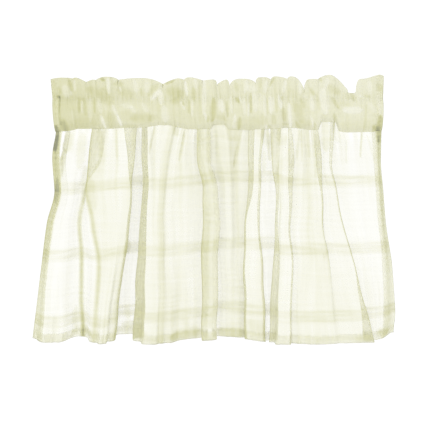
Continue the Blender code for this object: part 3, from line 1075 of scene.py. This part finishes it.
def hem_turns(hem_width):
    """A hem turned twice: how far each line lies from the edge, behind the cloth, and past the flat edge."""
    turns = [Turn(share * hem_width, HEM_OUTER, share * hem_width) for share in HEM_SHARES]
    turns.append(Turn(hem_width, HEM_FOLD, hem_width))
    for share in HEM_SHARES[:0:-1]:
        turns.append(Turn(share * hem_width, HEM_INNER, (2.0 - share) * hem_width))
    return turns


def sampled(values, row_places, column_places):
    """Values of a grid at places between its rows and columns."""
    row_low = np.clip(np.floor(row_places).astype(int), 0, values.shape[0] - 2)
    column_low = np.clip(np.floor(column_places).astype(int), 0, values.shape[1] - 2)
    more_axes = (1,) * (values.ndim - 2)
    row_share = (row_places - row_low).reshape(-1, 1, *more_axes)
    column_share = (column_places - column_low).reshape(1, -1, *more_axes)
    across = []
    for rows in (values[row_low], values[row_low + 1]):
        across.append(rows[:, column_low] * (1.0 - column_share) + rows[:, column_low + 1] * column_share)
    return across[0] * (1.0 - row_share) + across[1] * row_share


def with_hems(sheet, side_hem, bottom_hem, sewn):
    """The sheet with its side edges, and its bottom edge if it has a hem there, turned twice to the back."""
    rows, columns = sheet.along.shape
    along = sheet.along[0]
    down = sheet.down[:, 0]
    row_step = down[-1] - down[-2]
    left = hem_turns(side_hem)[::-1]
    right = hem_turns(side_hem)
    bottom = hem_turns(bottom_hem) if bottom_hem > 0.0 else []
    numbers = np.arange(columns)
    left_places = [np.interp(turn.inset, along, numbers) for turn in left]
    right_places = [np.interp(along[-1] - turn.inset, along, numbers) for turn in right]
    column_places = np.concatenate((left_places, numbers, right_places))
    bottom_places = [rows - 1 - turn.inset / row_step for turn in bottom]
    row_places = np.concatenate((np.arange(rows), bottom_places))
    left_along = [-turn.beyond for turn in left]
    right_along = [along[-1] + turn.beyond for turn in right]
    flat_along = np.concatenate((left_along, along, right_along))
    flat_down = np.concatenate((down, [down[-1] + turn.beyond for turn in bottom]))
    column_offsets = [turn.offset for turn in left] + [0.0] * columns + [turn.offset for turn in right]
    row_offsets = [0.0] * rows + [turn.offset for turn in bottom]
    offsets = np.add.outer(row_offsets, column_offsets)
    normals = sampled(sheet.normals, row_places, column_places)
    points = sampled(sheet.points, row_places, column_places) - normals * offsets[:, :, None]
    cover = sampled(sheet.cover, row_places, column_places)
    in_side_hem = (np.abs(flat_along) < side_hem) | (flat_along > along[-1] - side_hem)
    in_bottom_hem = flat_down > down[-1] - bottom_hem
    in_hem = in_side_hem[None, :] | in_bottom_hem[:, None]
    cover = np.where(in_hem, sewn.front_least + sewn.front_share * cover, cover)
    cover = np.where(offsets > 0.0, sewn.behind, cover)
    along_all, down_all = np.meshgrid(flat_along, flat_down)
    return Sheet(points, normals, along_all, down_all, cover)


def mesh_piece(name, sheet, material):
    """A smooth mesh of the sheet, with its flat cloth as the UV map and its cover as an attribute."""
    rows, columns = sheet.along.shape
    index = np.arange(rows * columns).reshape(rows, columns)
    corners = np.stack((index[:-1, :-1], index[1:, :-1], index[1:, 1:], index[:-1, 1:]), axis=2).reshape(-1)
    mesh = bpy.data.meshes.new(name)
    mesh.vertices.add(rows * columns)
    mesh.vertices.foreach_set("co", (sheet.points * MM).reshape(-1))
    mesh.loops.add(len(corners))
    mesh.loops.foreach_set("vertex_index", corners)
    mesh.polygons.add(len(corners) // 4)
    mesh.polygons.foreach_set("loop_start", np.arange(0, len(corners), 4))
    mesh.update(calc_edges=True)
    flat = mesh.uv_layers.new(name="flat_cloth")
    places = np.stack((sheet.along, sheet.down), axis=2).reshape(-1, 2) * MM
    flat.data.foreach_set("uv", places[corners].reshape(-1))
    cover = mesh.attributes.new("cover", "FLOAT", "POINT")
    cover.data.foreach_set("value", sheet.cover.reshape(-1).astype(np.float32))
    mesh.shade_smooth()
    mesh.materials.append(material)
    mesh.validate()
    piece = bpy.data.objects.new(name, mesh)
    bpy.context.scene.collection.objects.link(piece)
    return piece


# Materials


def add_node(tree, kind, **settings):
    node = tree.nodes.new(kind)
    for key, value in settings.items():
        setattr(node, key, value)
    return node


def math_node(tree, operation, *values):
    """The result of a maths node whose inputs are links or plain numbers."""
    node = add_node(tree, "ShaderNodeMath", operation=operation)
    for socket, value in zip(node.inputs, values):
        if isinstance(value, (int, float)):
            socket.default_value = value
        else:
            tree.links.new(value, socket)
    return node.outputs[0]


def summed(tree, *values):
    total = values[0]
    for value in values[1:]:
        total = math_node(tree, "ADD", total, value)
    return total


def swing(tree, value, strength):
    """How far a noise is above or below its middle, times a strength."""
    return math_node(tree, "MULTIPLY", math_node(tree, "SUBTRACT", value, 0.5), strength)


def grain_noise(tree, source, grain):
    """Noise drawn out along the threads."""
    mapping = add_node(tree, "ShaderNodeMapping")
    mapping.inputs["Scale"].default_value = (grain.across, grain.down, 1.0)
    noise = add_node(tree, "ShaderNodeTexNoise")
    noise.inputs["Scale"].default_value = 1.0
    noise.inputs["Detail"].default_value = grain.detail
    tree.links.new(source, mapping.inputs["Vector"])
    tree.links.new(mapping.outputs["Vector"], noise.inputs["Vector"])
    return noise.outputs["Fac"]


def ramp(tree, value, low, high, kind="LINEAR"):
    """0 up to the low value, and 1 from the high one on."""
    node = add_node(tree, "ShaderNodeMapRange", interpolation_type=kind)
    node.inputs["From Min"].default_value = low
    node.inputs["From Max"].default_value = high
    tree.links.new(value, node.inputs["Value"])
    return node.outputs["Result"]


def band_masks(tree, value, centres, half_width, softness):
    """1 inside the bands of the cloth and 0 outside them."""
    masks = []
    for centre in centres:
        distance = math_node(tree, "ABSOLUTE", math_node(tree, "SUBTRACT", value, centre))
        outside = ramp(tree, distance, half_width - softness, half_width + softness, "SMOOTHSTEP")
        masks.append(math_node(tree, "SUBTRACT", 1.0, outside))
    return summed(tree, *masks)


def band_rise(tree, across):
    """How far the bands across rise above their left end, in metres."""
    curve = add_node(tree, "ShaderNodeFloatCurve")
    points = curve.mapping.curves[0].points
    points[0].location = (BAND_COURSE[0].across, BAND_COURSE[0].rise / LARGEST_RISE)
    points[-1].location = (1.0, BAND_COURSE[-1].rise / LARGEST_RISE)
    for row in BAND_COURSE[1:]:
        points.new(row.across, row.rise / LARGEST_RISE)
    curve.mapping.update()
    tree.links.new(across, curve.inputs["Value"])
    return math_node(tree, "MULTIPLY", curve.outputs["Value"], LARGEST_RISE)


def set_out(tree):
    """Places the nodes in columns, each to the right of those that feed it."""
    columns = {node.name: 0 for node in tree.nodes}
    for _ in tree.nodes:
        for link in tree.links:
            before = columns[link.from_node.name]
            columns[link.to_node.name] = max(columns[link.to_node.name], before + 1)
    filled = {}
    for name, column in columns.items():
        row = filled.get(column, 0)
        tree.nodes[name].location = (NODE_COLUMN * column, -NODE_ROW * row)
        filled[column] = row + 1


def weave_group():
    """The weave of the cloth: how much thicker or thinner it is than its mean, its bands and its relief."""
    group = bpy.data.node_groups.new("uneven_weave", "ShaderNodeTree")
    group.interface.new_socket("Flat Place", in_out="INPUT", socket_type="NodeSocketVector")
    for name in ("Unevenness", "Band Strength"):
        group.interface.new_socket(name, in_out="INPUT", socket_type="NodeSocketFloat")
    for name in ("Thickness", "Bands", "Relief"):
        group.interface.new_socket(name, in_out="OUTPUT", socket_type="NodeSocketFloat")
    entry = add_node(group, "NodeGroupInput")
    leave = add_node(group, "NodeGroupOutput")
    flat = entry.outputs["Flat Place"]
    split = add_node(group, "ShaderNodeSeparateXYZ")
    group.links.new(flat, split.inputs[0])
    crinkle = grain_noise(group, flat, CRINKLES)
    threads = summed(group, grain_noise(group, flat, WARP_THREADS), grain_noise(group, flat, WEFT_THREADS))
    threads = math_node(group, "MULTIPLY_ADD", threads, THREAD_STRENGTH, THREAD_BASE)
    slubs = swing(group, grain_noise(group, flat, SLUBS), SLUB_STRENGTH)
    total = summed(group, threads, slubs, swing(group, crinkle, 1.0))
    uneven = math_node(group, "SUBTRACT", total, 1.0)
    uneven = math_node(group, "MULTIPLY", uneven, entry.outputs["Unevenness"])
    group.links.new(summed(group, uneven, 1.0), leave.inputs["Thickness"])

    waver = swing(group, grain_noise(group, flat, BAND_WAVER), WAVER_HEIGHT)
    wavy_down = summed(group, split.outputs["Y"], waver, band_rise(group, split.outputs["X"]))
    course = add_node(group, "ShaderNodeCombineXYZ")
    group.links.new(split.outputs["X"], course.inputs["X"])
    group.links.new(wavy_down, course.inputs["Y"])
    streaks = grain_noise(group, course.outputs[0], BAND_STREAKS)
    streaks = math_node(group, "MULTIPLY_ADD", streaks, STREAK_GAIN, -STREAK_LOSS)
    streaks = math_node(group, "MAXIMUM", streaks, FAINTEST_STREAK)
    weft = band_masks(group, wavy_down, WEFT_BANDS, WEFT_HALF, WEFT_SOFTNESS)
    warp = band_masks(group, split.outputs["X"], WARP_BANDS, WARP_HALF, WARP_SOFTNESS)
    streaked = math_node(group, "MULTIPLY", weft, streaks)
    crinkled = math_node(group, "MULTIPLY", warp, math_node(group, "MULTIPLY", crinkle, WARP_STRENGTH))
    both = math_node(group, "MULTIPLY", summed(group, streaked, crinkled), entry.outputs["Band Strength"])
    group.links.new(both, leave.inputs["Bands"])

    crinkle_relief = math_node(group, "MULTIPLY", crinkle, CRINKLE_RELIEF)
    band_relief = math_node(group, "MULTIPLY", weft, BAND_RELIEF)
    group.links.new(summed(group, threads, crinkle_relief, band_relief), leave.inputs["Relief"])
    set_out(group)
    return group


def blended(tree, share, colour, deeper):
    """A colour that turns into a deeper one, where the first is a link or a plain colour."""
    blend = add_node(tree, "ShaderNodeMix", data_type="RGBA")
    tree.links.new(share, blend.inputs["Factor"])
    if isinstance(colour, tuple):
        blend.inputs["A"].default_value = colour
    else:
        tree.links.new(colour, blend.inputs["A"])
    blend.inputs["B"].default_value = deeper
    return blend.outputs["Result"]


def cloth_material(finish):
    """Sheer cloth: its opacity and the depth of its colour follow the weave and how the cloth is gathered,
    and the deeper colours of thick places are partly painted shade.
    """
    looks = bpy.context.scene.cloth_looks
    material = bpy.data.materials.new(finish.slot)
    material.use_nodes = True
    tree = material.node_tree
    shader = tree.nodes["Principled BSDF"]
    flat = add_node(tree, "ShaderNodeUVMap", uv_map="flat_cloth")
    cover = add_node(tree, "ShaderNodeAttribute", attribute_name="cover").outputs["Fac"]
    weave = add_node(tree, "ShaderNodeGroup")
    weave.node_tree = bpy.data.node_groups.get("uneven_weave") or weave_group()
    weave.inputs["Unevenness"].default_value = finish.unevenness
    weave.inputs["Band Strength"].default_value = finish.bands
    tree.links.new(flat.outputs["UV"], weave.inputs["Flat Place"])

    shown = math_node(tree, "MINIMUM", math_node(tree, "MULTIPLY", cover, BAND_COVER), 1.0)
    bands = math_node(tree, "MULTIPLY", weave.outputs["Bands"], shown)
    thickness = math_node(tree, "MULTIPLY_ADD", weave.outputs["Thickness"], cover, bands)
    clear = math_node(tree, "POWER", 1.0 - looks.opacity, thickness)
    tree.links.new(math_node(tree, "SUBTRACT", 1.0, clear), shader.inputs["Alpha"])

    # Thick places turn deeper in colour: partly the colour of layered cloth, partly painted shade of folds,
    # hems and corners
    thick_and_shade_share = ramp(tree, thickness, DEEPENS_FROM, DEEPEST_AT)
    colour = blended(tree, thick_and_shade_share, (*looks.colour, 1.0), (*looks.thick_and_shade_colour, 1.0))
    darkest_and_shade_share = ramp(tree, thickness, DEEPEST_AT, DARKEST_AT)
    colour = blended(tree, darkest_and_shade_share, colour, (*looks.darkest_layers_and_shade_colour, 1.0))
    tree.links.new(colour, shader.inputs["Base Color"])

    bump = add_node(tree, "ShaderNodeBump")
    bump.inputs["Strength"].default_value = looks.relief
    bump.inputs["Distance"].default_value = finish.relief
    tree.links.new(weave.outputs["Relief"], bump.inputs["Height"])
    tree.links.new(bump.outputs["Normal"], shader.inputs["Normal"])
    shader.inputs["Roughness"].default_value = looks.roughness
    shader.inputs["Sheen Weight"].default_value = looks.sheen
    shader.inputs["Specular IOR Level"].default_value = looks.shine
    set_out(tree)
    return material


def floor_material(looks):
    material = bpy.data.materials.new("pale_floor")
    material.use_nodes = True
    shader = material.node_tree.nodes["Principled BSDF"]
    shader.inputs["Base Color"].default_value = (*looks.floor_colour, 1.0)
    shader.inputs["Roughness"].default_value = looks.floor_roughness
    shader.inputs["Specular IOR Level"].default_value = 0.0
    return material


# Sizes and looks that a user would change


def length_of(name, description, default):
    return FloatProperty(name=name, description=description, default=default, unit="LENGTH")


def place_of(name, description, default):
    return FloatVectorProperty(name=name, description=description, default=default, unit="LENGTH")


def colour_of(name, description, default):
    return FloatVectorProperty(name=name, description=description, default=default, subtype="COLOR", size=3)


def share_of(name, description, default):
    """A share from 0 to 1."""
    return FloatProperty(
        name=name, description=description, default=default, min=0.0, max=1.0, subtype="FACTOR"
    )


class ValanceSizes(bpy.types.PropertyGroup):
    """Sizes of the cloth."""

    flat_width: length_of("Flat width", "Width between the side edges when flat", 0.705)
    bottom_hem: length_of("Bottom hem", "Height of the hem along the bottom", 0.0125)
    side_hem: length_of("Side hems", "Width of the hems down the sides", 0.0155)
    column_step: length_of("Column step", "Size of the faces along the cloth", 0.00125)
    row_step: length_of("Row step", "Size of the faces down the cloth", 0.0026)


class ClothLooks(bpy.types.PropertyGroup):
    """Colours and finish of the cloth."""

    colour: colour_of("Cloth", "Colour of the cloth", (0.635, 0.63, 0.43))
    # Colour of thick cloth, partly painted shade in folds and hems
    thick_and_shade_colour: colour_of("Deep folds", "Colour where the cloth lies thick", (0.49, 0.487, 0.255))
    # Darkest colour, partly that of many layers and partly painted shade in corners and hem turns
    darkest_layers_and_shade_colour: colour_of("Corners", "Colour where many turns lie on each other", (0.25, 0.255, 0.16))
    opacity: share_of("Opacity", "How much one flat layer hides", 0.25)
    roughness: share_of("Roughness", "How matte the threads are", 0.85)
    sheen: share_of("Sheen", "How much the threads' ends catch the light", 0.15)
    shine: share_of("Shine", "How strongly the cloth mirrors", 0.2)
    relief: share_of("Relief", "How strongly the weave's relief shows", 0.5)


class StageLooks(bpy.types.PropertyGroup):
    """Camera, light and floor."""

    distance: length_of("Camera distance", "From the camera to the valance", 1.25)
    elevation: FloatProperty(
        name="Elevation", description="How far the view looks down", default=math.radians(10), unit="ROTATION"
    )
    view_width: length_of("View width", "Width of the view at the valance", 0.572)
    target: place_of("Target", "What the camera looks at", (-0.0053, 0.0, -0.181))
    light: FloatProperty(name="Light", description="Strength of the light all round", default=1.06)
    lamp_power: FloatProperty(name="Lamp", description="Power of the soft lamp", default=7.4, unit="POWER")
    lamp_size: length_of("Lamp size", "Side of the lamp", 0.7)
    lamp_place: place_of("Lamp place", "Where the soft lamp is", (-0.35, -1.55, 0.7))
    lamp_target: place_of("Lamp target", "What the soft lamp lights", (0.0, 0.0, -0.18))
    floor_level: length_of("Floor level", "Height of the floor", -0.75)
    floor_size: length_of("Floor size", "Side of the floor", 14.0)
    floor_colour: colour_of("Floor", "Colour of the floor", (0.97, 0.97, 0.97))
    floor_roughness: share_of("Floor roughness", "How matte the floor is", 0.9)


# The stage


def add_camera(looks):
    target = Vector(looks.target)
    back = Vector((0.0, -math.cos(looks.elevation), math.sin(looks.elevation)))
    data = bpy.data.cameras.new("camera")
    data.lens = data.sensor_width * looks.distance / looks.view_width
    camera = bpy.data.objects.new("camera", data)
    camera.location = target + back * looks.distance
    camera.rotation_euler = (target - camera.location).to_track_quat("-Z", "Y").to_euler()
    bpy.context.scene.collection.objects.link(camera)
    bpy.context.scene.camera = camera


def add_floor(looks):
    bpy.ops.object.select_all(action="DESELECT")
    bpy.ops.mesh.primitive_plane_add(size=looks.floor_size, location=(0.0, 0.0, looks.floor_level))
    floor = bpy.context.object
    floor.name = "floor"
    floor.data.materials.append(floor_material(looks))


def add_lights(looks):
    world = bpy.data.worlds.new("studio")
    world.use_nodes = True
    background = world.node_tree.nodes["Background"]
    background.inputs["Color"].default_value = (1.0, 1.0, 1.0, 1.0)
    background.inputs["Strength"].default_value = looks.light
    bpy.context.scene.world = world
    data = bpy.data.lights.new("key", "AREA")
    data.size = looks.lamp_size
    data.energy = looks.lamp_power
    lamp = bpy.data.objects.new("key", data)
    lamp.location = looks.lamp_place
    aim = Vector(looks.lamp_target) - lamp.location
    lamp.rotation_euler = aim.to_track_quat("-Z", "Y").to_euler()
    bpy.context.scene.collection.objects.link(lamp)


class VALANCE_OT_stage(bpy.types.Operator):
    """Add the camera, the lights and a pale floor"""

    bl_idname = "valance.stage"
    bl_label = "Stage"

    def execute(self, context):
        looks = context.scene.stage_looks
        add_camera(looks)
        add_floor(looks)
        add_lights(looks)
        context.scene.view_settings.view_transform = "Standard"
        context.scene.cycles.transparent_max_bounces = MOST_CLEAR_LAYERS
        return {"FINISHED"}


# The cloth


class VALANCE_OT_drop(bpy.types.Operator):
    """Hang the gathered drop with its hems"""

    bl_idname = "valance.drop"
    bl_label = "Drop"

    def execute(self, context):
        sizes = context.scene.valance_sizes
        sheet = drop_sheet()
        flat_along = sheet.along * (sizes.flat_width / MM) / sheet.along.max()
        sheet = sheet._replace(along=flat_along)
        sheet = with_hems(sheet, sizes.side_hem / MM, sizes.bottom_hem / MM, DROP_SEWN)
        piece = mesh_piece("drop_cloth", sheet, cloth_material(DROP_FINISH))
        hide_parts("drop")
        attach(piece, "root")
        return {"FINISHED"}


class VALANCE_OT_heading(bpy.types.Operator):
    """Gather the heading's double cloth over the rod pocket"""

    bl_idname = "valance.heading"
    bl_label = "Heading"

    def execute(self, context):
        sizes = context.scene.valance_sizes
        sheet = with_hems(heading_sheet(), sizes.side_hem / MM, 0.0, HEADING_SEWN)
        piece = mesh_piece("heading_cloth", sheet, cloth_material(HEADING_FINISH))
        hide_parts("heading")
        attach(piece, "root")
        return {"FINISHED"}


# The sidebar, and what registers and runs it all


class VALANCE_PT_sidebar(bpy.types.Panel):
    """Sizes, looks and steps of the valance"""

    bl_idname = "VALANCE_PT_sidebar"
    bl_label = "Sheer valance"
    bl_space_type = "VIEW_3D"
    bl_region_type = "UI"
    bl_category = "Valance"

    def draw(self, context):
        layout = self.layout
        scene = context.scene
        for owner in (scene.valance_sizes, scene.cloth_looks, scene.stage_looks):
            box = layout.box()
            for name in owner.__annotations__:
                box.prop(owner, name)
        for operator in OPERATORS:
            layout.operator(operator.bl_idname)


GROUPS = {"valance_sizes": ValanceSizes, "cloth_looks": ClothLooks, "stage_looks": StageLooks}
OPERATORS = (VALANCE_OT_stage, VALANCE_OT_drop, VALANCE_OT_heading)
CLASSES = (*GROUPS.values(), *OPERATORS, VALANCE_PT_sidebar)


def register():
    for made in CLASSES:
        bpy.utils.register_class(made)
    for name, group in GROUPS.items():
        setattr(bpy.types.Scene, name, PointerProperty(type=group))


def unregister():
    for name in GROUPS:
        delattr(bpy.types.Scene, name)
    for made in reversed(CLASSES):
        bpy.utils.unregister_class(made)


def main():
    register()
    bpy.ops.valance.stage()
    bpy.ops.valance.drop()
    bpy.ops.valance.heading()


if __name__ == "__main__":
    main()
